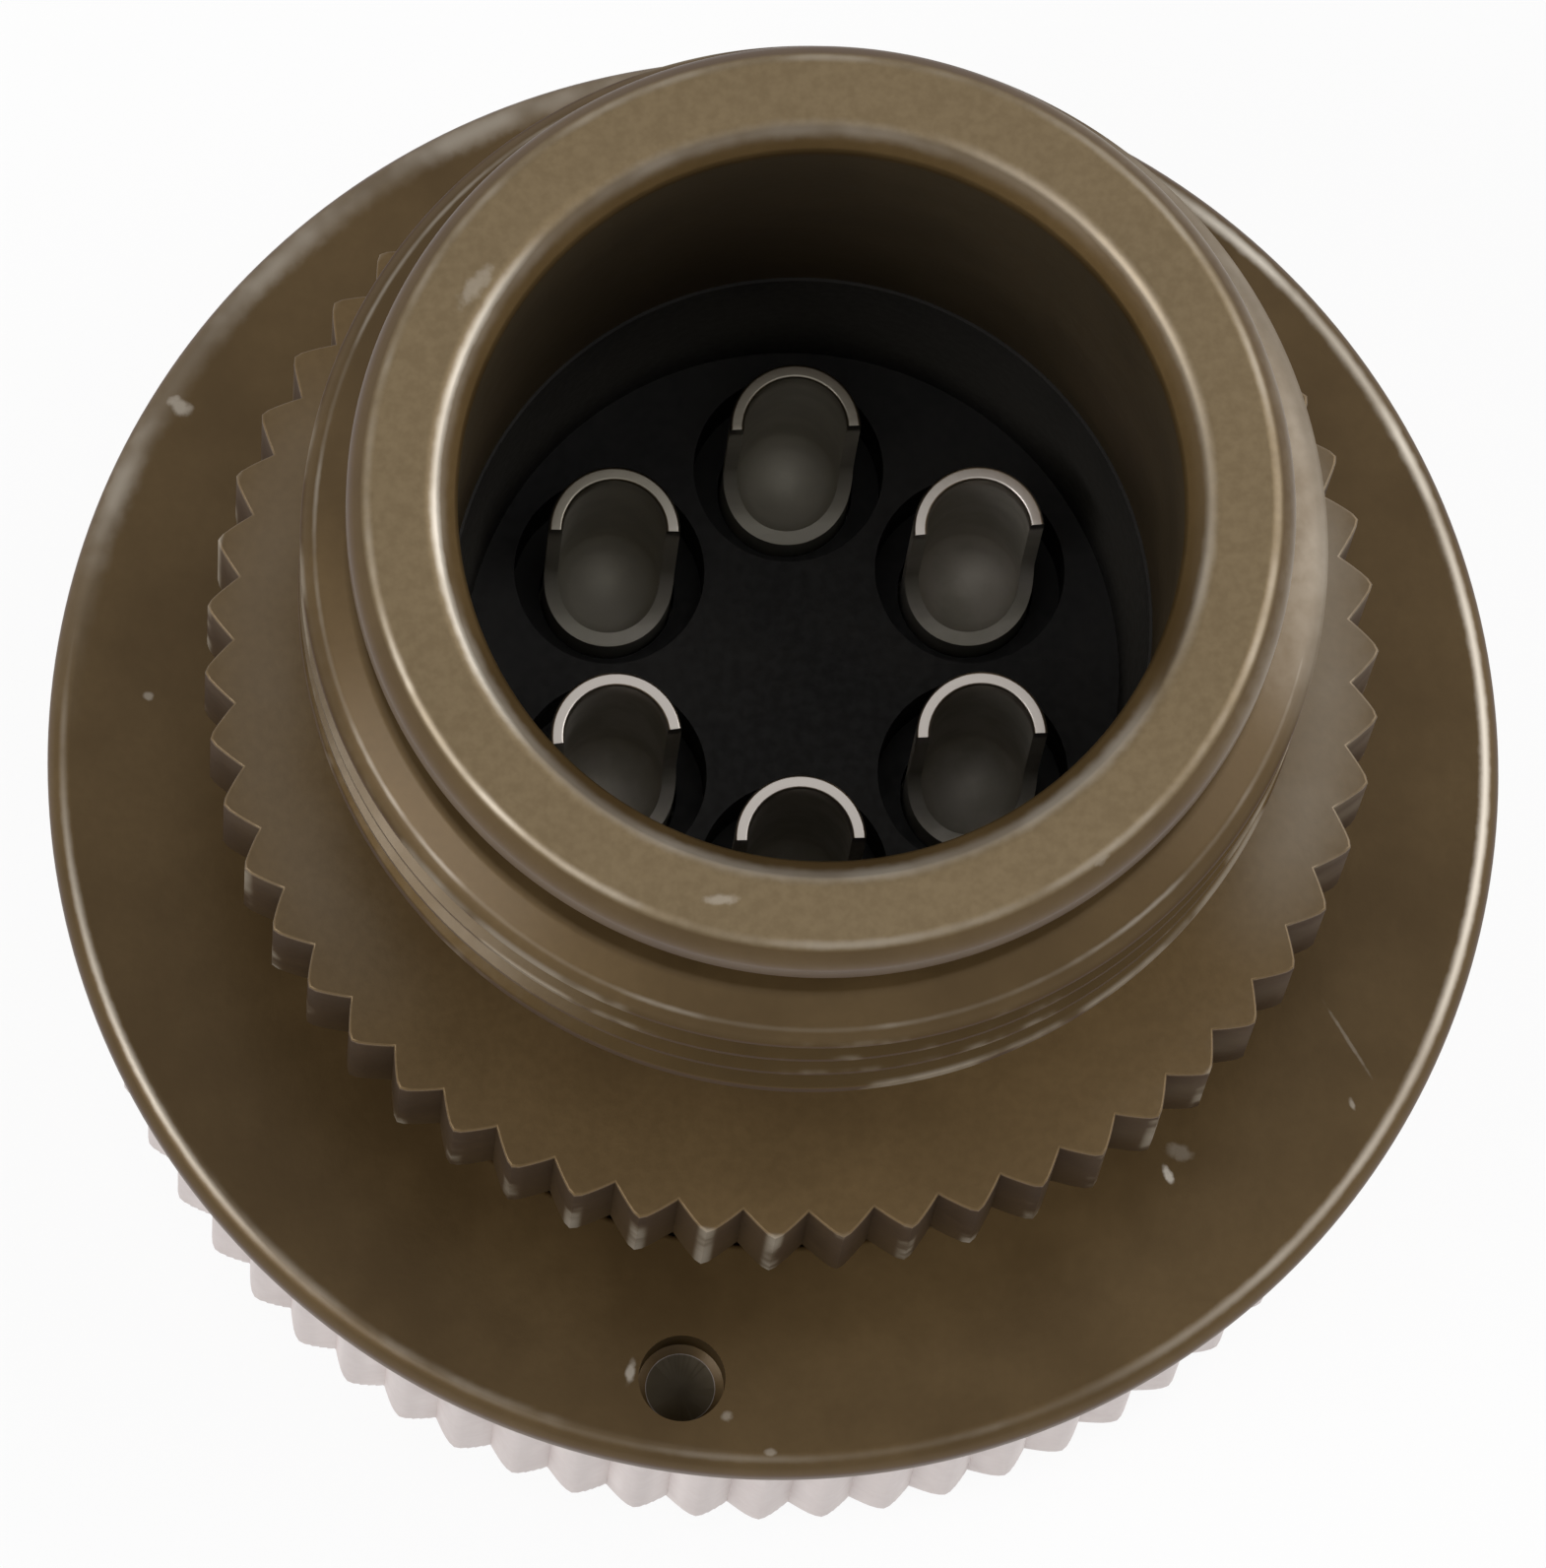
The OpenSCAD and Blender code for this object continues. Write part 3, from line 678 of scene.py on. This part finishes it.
def makeFleck(spec):  # one small pale mark at a place, longer one way than the other
    tree, start, end = newGroup("fleck", [
        ("Place", direction), ("Length", scalar), ("Width", scalar), ("Turn", scalar),
    ], [("Mask", scalar)])
    given = start.outputs
    scaled = addNode(tree, "ShaderNodeVectorMath", {0: objectPlace(tree), "Scale": 1 / mm},
                     operation="SCALE").outputs[0]
    away = vectors(tree, "SUBTRACT", scaled, given["Place"])[0]
    turned = addNode(tree, "ShaderNodeVectorRotate", {"Vector": away, "Angle": given["Turn"]},
                     rotation_type="Z_AXIS").outputs[0]
    part = addNode(tree, "ShaderNodeSeparateXYZ", {0: turned}).outputs
    shares = [maths(tree, "DIVIDE", part[axis], given[size])
              for axis, size in (("X", "Length"), ("Y", "Width"), ("Z", "Length"))]
    uneven = maths(tree, "SUBTRACT", noise(tree, spec["noiseScale"], spec["noiseDetail"]),
                   spec["noiseMiddle"])
    ragged = maths(tree, "ADD", lengthOf(tree, *shares), uneven)
    tree.links.new(span(tree, ragged, *spec["edge"], 1.0, 0.0), end.inputs["Mask"])
    return tree


turnedPlace = makeTurnedPlace()
edgeWearAndHighlight, finishGrain = makeEdgeWearAndHighlight(wearAndHighlightSpec), makeFinishGrain(grainSpec)
fleck = makeFleck(fleckSpec)


# material helpers

def newMaterial(name):
    material = bpy.data.materials.new(name)
    material.use_nodes = True
    tree = material.node_tree
    return material, tree, tree.nodes["Principled BSDF"]


def grainOf(tree, spec):
    return place(tree, finishGrain, {"Patch Scale": spec["patchScale"],
                                     "Grain Scale": spec["grainScale"]})


def inZone(tree, where, heights, radii):  # 1 inside a turned zone
    return times(tree, band(tree, where["Height"], *heights), band(tree, where["Radius"], *radii))


def swing(tree, spec, mask):  # roughness that follows a mask to both sides of its middle
    return maths(tree, "ADD", spec["rough"] - spec["swing"], times(tree, mask, 2 * spec["swing"]))


def bump(tree, shader, height, strength, distance):
    node = addNode(tree, "ShaderNodeBump", {"Height": height, "Strength": strength,
                                            "Distance": distance * mm})
    tree.links.new(node.outputs["Normal"], shader.inputs["Normal"])


def dress(piece, material):
    piece.data.materials.clear()
    piece.data.materials.append(material)


# olive finish of shell and collar, worn bright and with painted highlights along the turned edges,
# and painted light and shade on some faces

flankZone = ((14.8, 18.26), (10.4, 11.5))                  # tooth flanks: heights, radii
threadZone = ((23.6, 28.25), (8.5, 9.7))                   # side of the thread
oliveSpec = {
    "deep": tone(84, 66, 40), "light": tone(98, 79, 51), "wearAndHighlight": tone(210, 201, 187),
    "patchScale": 260.0, "grainScale": 5200.0, "grainShare": 0.25, "bump": (0.25, 0.02),
    "metallic": 0.6, "rough": 0.46, "swing": 0.06, "wornSmooth": 0.12,
    "coat": 0.32, "coatFrom": (6.75, 6.95), "coatRough": 0.28,
    "tint": tone(160, 140, 110), "shine": 0.35,
    "zones": [  # heights, radii, tone, mix
        ((31.5, 32.0), (6.0, 9.0), tone(126, 109, 82), 1.0),       # rim, painted lighter than the faces below: painted light
        ((18.2, 18.6), (7.5, 11.5), tone(122, 100, 68), 0.55),     # face of the shoulder, painted lighter: painted light
        # painted shade: the tooth flanks darker
        (*flankZone, tone(48, 39, 25), 0.6),
        # painted shade: the side of the thread darker
        (*threadZone, tone(62, 52, 38), 0.4),
        ((21.5, 31.0), (6.4, 6.8), tone(88, 80, 66), 0.7),         # wiring bore, painted lighter: painted light
    ],
    "dull": [flankZone, threadZone],
    "edges": [  # radius, height, spread, breakup, strength, side in degrees, reach; all-round lines are wear, lines narrowed to one side are painted highlights where the lamps catch the edge
        (7.02, 31.5, 0.28, 0.4, 0.46, 262, 0.3), (7.07, 31.55, 0.18, 0.3, 1.0, 180, 0.65),
        (7.1, 31.56, 0.2, 0.4, 0.36, 22, 0.55), (7.0, 31.48, 0.26, 0.6, 0.28, 115, 0.2),
        (8.33, 31.62, 0.13, 0.8, 0.3, 0, -2), (8.33, 31.62, 0.12, 0.6, 0.55, 212, 0.8),
        (8.69, 30.9, 0.7, 0.3, 0.32, 15, 0.55), (8.69, 30.8, 0.5, 0.2, 0.08, 262, 0.2),
        (9.25, 28.4, 0.08, 0.75, 0.35, 0, -2),
        (9.4, 27.5, 2.2, 0.3, 0.5, 18, 0.7), (9.5, 26.2, 2.3, 0.35, 0.17, 206, 0.72),
        (10.2, 18.31, 1.7, 0.2, 0.28, 2, 0.76), (10.2, 18.31, 1.7, 0.2, 0.1, 185, 0.72),
        (11.0, 17.0, 1.6, 0.5, 0.16, 335, 0.75),
        (14.0, 9.82, 0.12, 0.6, 0.16, 0, -2), (14.0, 9.82, 0.13, 0.1, 1.0, 203, 0.86),
        (14.0, 9.82, 0.17, 0.1, 1.0, 358, 0.8), (13.95, 9.84, 0.16, 0.8, 0.35, 236, 0.84),
        (14.0, 9.82, 0.42, 0.7, 0.44, 130, 0.66), (14.0, 9.82, 0.2, 0.45, 0.95, 46, 0.76),
        (14.0, 9.82, 0.15, 0.25, 0.55, 325, 0.8),
    ],
    "tips": [  # radii from bare to worn, heights, strength
        ((11.1, 11.22), (14.8, 18.45), 0.42),                      # teeth
        ((9.4, 9.5), (23.6, 28.3), 0.3),                           # thread
    ],
    "tipPatch": (0.5, 0.95),
    "flecks": [  # place, half length, half width, turn, strength
        ((7.59, -8.39, 9.85), 0.26, 0.1, -70, 1.0), ((7.83, -7.94, 9.85), 0.34, 0.2, -15, 0.2),
        ((-11.68, 7.11, 9.85), 0.34, 0.22, -38, 0.5), ((11.18, -5.73, 9.85), 1.1, 0.05, -59, 0.2),
        ((11.24, -7.01, 9.85), 0.18, 0.07, -70, 0.4), ((-2.97, -12.28, 9.85), 0.34, 0.11, 80, 0.6),
        ((-1.1, -13.15, 9.85), 0.14, 0.14, 0, 0.3), ((-0.25, -13.87, 9.8), 0.16, 0.1, 0, 0.3),
        ((-12.32, 1.26, 9.85), 0.12, 0.12, 0, 0.35), ((-6.32, 3.98, 31.65), 0.6, 0.22, 53, 0.28),
        ((-1.93, -7.47, 31.65), 0.42, 0.13, 0, 0.35), ((4.96, -6.74, 31.65), 0.22, 0.14, 40, 0.25),
    ],
}


def oliveWearAndHighlight(tree, spec, where, patch):  # every worn edge, painted edge highlight, tip and fleck, the strongest on top
    masks = []
    for radius, height, spread, breakup, strength, side, reach in spec["edges"]:
        line = place(tree, edgeWearAndHighlight, {"Radius": radius, "Height": height, "Spread": spread,
                                      "Breakup": breakup, "Toward": ray(side), "Reach": reach})
        masks.append(times(tree, line["Mask"], strength))
    patchy = span(tree, patch, *spec["tipPatch"])
    for radii, heights, strength in spec["tips"]:
        tip = times(tree, span(tree, where["Radius"], *radii),
                    band(tree, where["Height"], *heights))
        masks.append(times(tree, times(tree, tip, patchy), strength))
    for spot, length, width, turned, strength in spec["flecks"]:
        mark = place(tree, fleck, {"Place": spot, "Length": length, "Width": width,
                                   "Turn": math.radians(-turned)})  # turns the pattern's place
        masks.append(times(tree, mark["Mask"], strength))
    wearAndHighlight = masks[0]
    for mask in masks[1:]:
        wearAndHighlight = maths(tree, "MAXIMUM", wearAndHighlight, mask)
    return wearAndHighlight


def makeOlive(spec):
    material, tree, shader = newMaterial("oliveFinish")
    where, grain = place(tree, turnedPlace), grainOf(tree, spec)
    body = mixTone(tree, grain["Patch"], spec["deep"], spec["light"])
    for heights, radii, colour, share in spec["zones"]:
        inside = inZone(tree, where, heights, radii)
        body = mixTone(tree, times(tree, inside, share), body, colour)
    body = mixTone(tree, times(tree, grain["Grain"], spec["grainShare"]), body, spec["deep"])
    wearAndHighlight = oliveWearAndHighlight(tree, spec, where, grain["Patch"])
    # wear and painted highlights lighten the base colour
    tree.links.new(mixTone(tree, wearAndHighlight, body, spec["wearAndHighlight"]), shader.inputs["Base Color"])
    rough = maths(tree, "SUBTRACT", swing(tree, spec, grain["Patch"]),
                  times(tree, wearAndHighlight, spec["wornSmooth"]))
    tree.links.new(rough, shader.inputs["Roughness"])
    shader.inputs["Metallic"].default_value = spec["metallic"]
    coat = span(tree, where["Radius"], *spec["coatFrom"], 0.0, spec["coat"])
    for heights, radii in spec["dull"]:                    # bore, flanks and thread stay dull
        outside = maths(tree, "SUBTRACT", 1.0, inZone(tree, where, heights, radii))
        coat = times(tree, coat, outside)
    tree.links.new(coat, shader.inputs["Coat Weight"])
    shader.inputs["Coat Roughness"].default_value = spec["coatRough"]
    shader.inputs["Specular Tint"].default_value = spec["tint"]
    shader.inputs["Specular IOR Level"].default_value = spec["shine"]
    bump(tree, shader, grain["Height"], *spec["bump"])
    return material


# pale satin metal of the knurled ring

paleSpec = {
    "low": tone(206, 195, 192), "high": tone(222, 212, 209), "tip": tone(176, 164, 161),
    "patchScale": 320.0, "grainScale": 4200.0, "bump": (0.03, 0.02),
    "metallic": 0.35, "rough": 0.5, "swing": 0.05, "shadedCrestFrom": (13.45, 13.7), "crestShadeShare": 0.5,
    "hole": tone(74, 63, 42), "dimpleShadeReach": 0.66, "dimpleShadeFade": 0.04, "dimpleShadeFrom": (6.0, 6.5),
}


def makePale(spec):
    material, tree, shader = newMaterial("paleRingMetal")
    where, grain = place(tree, turnedPlace), grainOf(tree, spec)
    body = mixTone(tree, grain["Patch"], spec["low"], spec["high"])
    # painted shade: the knurl's crests darker
    tip = times(tree, span(tree, where["Radius"], *spec["shadedCrestFrom"]), grain["Patch"])
    body = mixTone(tree, times(tree, tip, spec["crestShadeShare"]), body, spec["tip"])
    spot = vectors(tree, "MULTIPLY", objectPlace(tree), (1, 1, 0))[0]
    away = vectors(tree, "DISTANCE", spot, dimplePlace(dimpleSpec))["Value"]
    reach = spec["dimpleShadeReach"]                              # painted shade: the dimple is dark olive down to its point
    hole = span(tree, away, reach * mm, (reach + spec["dimpleShadeFade"]) * mm, 1.0, 0.0)
    hole = times(tree, hole, span(tree, where["Height"], *spec["dimpleShadeFrom"]))
    tree.links.new(mixTone(tree, hole, body, spec["hole"]), shader.inputs["Base Color"])
    tree.links.new(swing(tree, spec, grain["Grain"]), shader.inputs["Roughness"])
    shader.inputs["Metallic"].default_value = spec["metallic"]
    bump(tree, shader, grain["Height"], *spec["bump"])
    return material


# black moulded insulators

insulatorSpec = {
    "low": tone(29, 28, 28), "high": tone(42, 40, 38), "wall": tone(84, 81, 75),
    "patchScale": 420.0, "grainScale": 5200.0, "bump": (0.2, 0.02), "rough": 0.56, "swing": 0.06,
    "shine": 0.3, "wallRadii": (6.28, 6.4), "wallHeights": (22.6, 17.2),
}


def makeInsulator(spec):
    material, tree, shader = newMaterial("blackInsulator")
    where, grain = place(tree, turnedPlace), grainOf(tree, spec)
    body = mixTone(tree, grain["Patch"], spec["low"], spec["high"])
    onWall = times(tree, span(tree, where["Radius"], *spec["wallRadii"]),
                   span(tree, where["Height"], *spec["wallHeights"], smooth=False))
    body = mixTone(tree, onWall, body, spec["wall"])       # painted light: the wall lighter towards the floor
    tree.links.new(body, shader.inputs["Base Color"])
    tree.links.new(swing(tree, spec, grain["Grain"]), shader.inputs["Roughness"])
    shader.inputs["Specular IOR Level"].default_value = spec["shine"]
    bump(tree, shader, grain["Height"], *spec["bump"])
    return material


# silver plating of the contacts, tarnished down in the cups, with painted shade at one side

silverSpec = {
    "bright": tone(222, 214, 206), "dull": tone(180, 175, 161), "rimShade": tone(118, 113, 97),
    "patchScale": 700.0, "grainScale": 7000.0, "bump": (0.15, 0.015),
    "rough": 0.28, "deepRough": 0.24, "dullMetal": 0.3, "leastTarnish": 0.55,
    "cupTop": (20.6, 20.0), "cupLow": (13.0, 14.0),
    "rimShadeShare": 0.8, "rimShadeToward": (-0.35, 0.94, 0), "rimShadeFrom": 0.9, "rimShadeTo": 3.9,
}


def makeSilver(spec):
    material, tree, shader = newMaterial("silverPlating")
    where, grain = place(tree, turnedPlace), grainOf(tree, spec)
    deep = times(tree, span(tree, where["Height"], *spec["cupTop"]),
                 span(tree, where["Height"], *spec["cupLow"]))
    uneven = span(tree, grain["Patch"], 0.0, 1.0, spec["leastTarnish"], 1.0)
    toward = vectors(tree, "DOT_PRODUCT", objectPlace(tree), spec["rimShadeToward"])["Value"]
    rimShade = span(tree, toward, spec["rimShadeFrom"] * mm, spec["rimShadeTo"] * mm, 0.0, spec["rimShadeShare"])
    rim = mixTone(tree, rimShade, spec["bright"], spec["rimShade"])                # painted shade: darker at one side
    body = mixTone(tree, times(tree, deep, uneven), rim, spec["dull"])
    tree.links.new(body, shader.inputs["Base Color"])
    rough = maths(tree, "ADD", spec["rough"], times(tree, deep, spec["deepRough"]))
    tree.links.new(rough, shader.inputs["Roughness"])
    metallic = span(tree, deep, 0.0, 1.0, 1.0, spec["dullMetal"])
    tree.links.new(metallic, shader.inputs["Metallic"])
    bump(tree, shader, grain["Height"], *spec["bump"])
    return material


# spring steel rings and the rubber seal

plainSpec = {"patchScale": 500.0, "grainScale": 6000.0, "swing": 0.05, "bump": (0.2, 0.015)}
steelSpec = {"low": tone(128, 128, 130), "high": tone(168, 168, 170), "rough": 0.34,
             "metallic": 1.0, **plainSpec}
rubberSpec = {"low": tone(18, 18, 18), "high": tone(34, 33, 33), "rough": 0.62,
              "metallic": 0.0, **plainSpec}


def makePlain(name, spec):
    material, tree, shader = newMaterial(name)
    grain = grainOf(tree, spec)
    body = mixTone(tree, grain["Patch"], spec["low"], spec["high"])
    tree.links.new(body, shader.inputs["Base Color"])
    tree.links.new(swing(tree, spec, grain["Grain"]), shader.inputs["Roughness"])
    shader.inputs["Metallic"].default_value = spec["metallic"]
    bump(tree, shader, grain["Height"], *spec["bump"])
    return material


oliveFinish, paleRing = makeOlive(oliveSpec), makePale(paleSpec)
blackInsulator, silverPlating = makeInsulator(insulatorSpec), makeSilver(silverSpec)
springSteel, sealRubber = makePlain("springSteel", steelSpec), makePlain("sealRubber", rubberSpec)
for piece, material in [
    (shellSkin, oliveFinish), (shellThread, oliveFinish), (smoothCollar, oliveFinish),
    (knurledRing, paleRing), (ringThread, paleRing), (rearInsulator, blackInsulator),
    *[(contact, silverPlating) for contact in contacts],
]:
    dress(piece, material)
for name, material in [
    ("front_insert", blackInsulator), ("insert_ring", springSteel), ("snap_ring", springSteel),
    ("wave_washer", springSteel), ("thrust_washer", springSteel), ("nose_seal", sealRubber),
]:
    dress(nodes[name], material)
print("materials:", len(bpy.data.materials))


# floor, light and camera

floorSpec = {"size": 3.0, "tone": tone(235, 235, 235), "white": 0.9, "gap": 0.02, "rough": 0.9,
             "shine": 0.1}
lightSpec = {
    "ambient": 0.62,
    "lamps": [  # name, watts, size, place, aim, in metres
        ("rightLamp", 2.1, 0.7, (0.5, 0.11, 0.38), (0, 0, 0.02)),
        ("leftLamp", 1.6, 0.4, (-0.46, -0.21, 0.42), (0, 0, 0.02)),
    ],
}
cameraSpec = {
    "aim": (-0.27, -1.68, 15.0), "distance": 285.1,                        # mm
    "azimuth": -10.95, "elevation": 77.39, "roll": 10.53,                  # degrees
    "focalPixels": 15000, "frameWidth": 1570, "sensor": 36.0, "clipStart": 10.0,
}


def seenWhite(tree):  # 1 for camera, mirror and glass rays, so that metal shows white ground too
    rays = addNode(tree, "ShaderNodeLightPath").outputs
    total = maths(tree, "MAXIMUM", rays["Is Camera Ray"], rays["Is Glossy Ray"])
    return maths(tree, "MAXIMUM", total, rays["Is Transmission Ray"])


def makeFloor(spec):
    bm = bmesh.new()
    bmesh.ops.create_grid(bm, x_segments=1, y_segments=1, size=spec["size"] / 2)
    bmesh.ops.translate(bm, verts=bm.verts, vec=(0, 0, -spec["gap"] * mm))
    floor = finishMesh("floor", bm)
    material, tree, shader = newMaterial("paleGround")
    shader.inputs["Base Color"].default_value = spec["tone"]
    shader.inputs["Roughness"].default_value = spec["rough"]
    shader.inputs["Specular IOR Level"].default_value = spec["shine"]
    glow = addNode(tree, "ShaderNodeEmission", {"Color": (1, 1, 1, 1), "Strength": 1.0})
    share = times(tree, seenWhite(tree), spec["white"])
    mixed = addNode(tree, "ShaderNodeMixShader", {0: share, 1: shader.outputs[0],
                                                  2: glow.outputs[0]})
    tree.links.new(mixed.outputs[0], tree.nodes["Material Output"].inputs["Surface"])
    dress(floor, material)


def makeWorld(spec):
    world = bpy.data.worlds.new("studio")
    world.use_nodes = True
    sky = world.node_tree.nodes["Background"].inputs
    sky["Color"].default_value = (1, 1, 1, 1)
    sky["Strength"].default_value = spec["ambient"]
    bpy.context.scene.world = world


def makeLamps(spec):
    for name, watts, size, where, aim in spec["lamps"]:
        lamp = bpy.data.lights.new(name, "AREA")
        lamp.shape = "DISK"
        lamp.size = size
        lamp.energy = watts
        holder = bpy.data.objects.new(name, lamp)
        holder.location = where
        facing = (Vector(aim) - Vector(where)).to_track_quat("-Z", "Y")
        holder.rotation_euler = facing.to_euler()
        bpy.context.scene.collection.objects.link(holder)


def makeCamera(spec):
    azimuth, elevation = math.radians(spec["azimuth"]), math.radians(spec["elevation"])
    outward = Vector((math.sin(azimuth) * math.cos(elevation),
                      -math.cos(azimuth) * math.cos(elevation), math.sin(elevation)))
    lens = bpy.data.cameras.new("camera")
    lens.sensor_fit = "HORIZONTAL"
    lens.sensor_width = spec["sensor"]
    lens.lens = spec["focalPixels"] * spec["sensor"] / spec["frameWidth"]
    lens.clip_start = spec["clipStart"] * mm
    camera = bpy.data.objects.new("camera", lens)
    upright = (-outward).to_track_quat("-Z", "Y").to_matrix().to_4x4()
    spot = Matrix.Translation((Vector(spec["aim"]) + outward * spec["distance"]) * mm)
    camera.matrix_world = spot @ upright @ Matrix.Rotation(math.radians(spec["roll"]), 4, "Z")
    bpy.context.scene.collection.objects.link(camera)
    bpy.context.scene.camera = camera


makeFloor(floorSpec)
makeWorld(lightSpec)
makeLamps(lightSpec)
makeCamera(cameraSpec)
bpy.context.scene.view_settings.view_transform = "Standard"
print("stage and camera set")
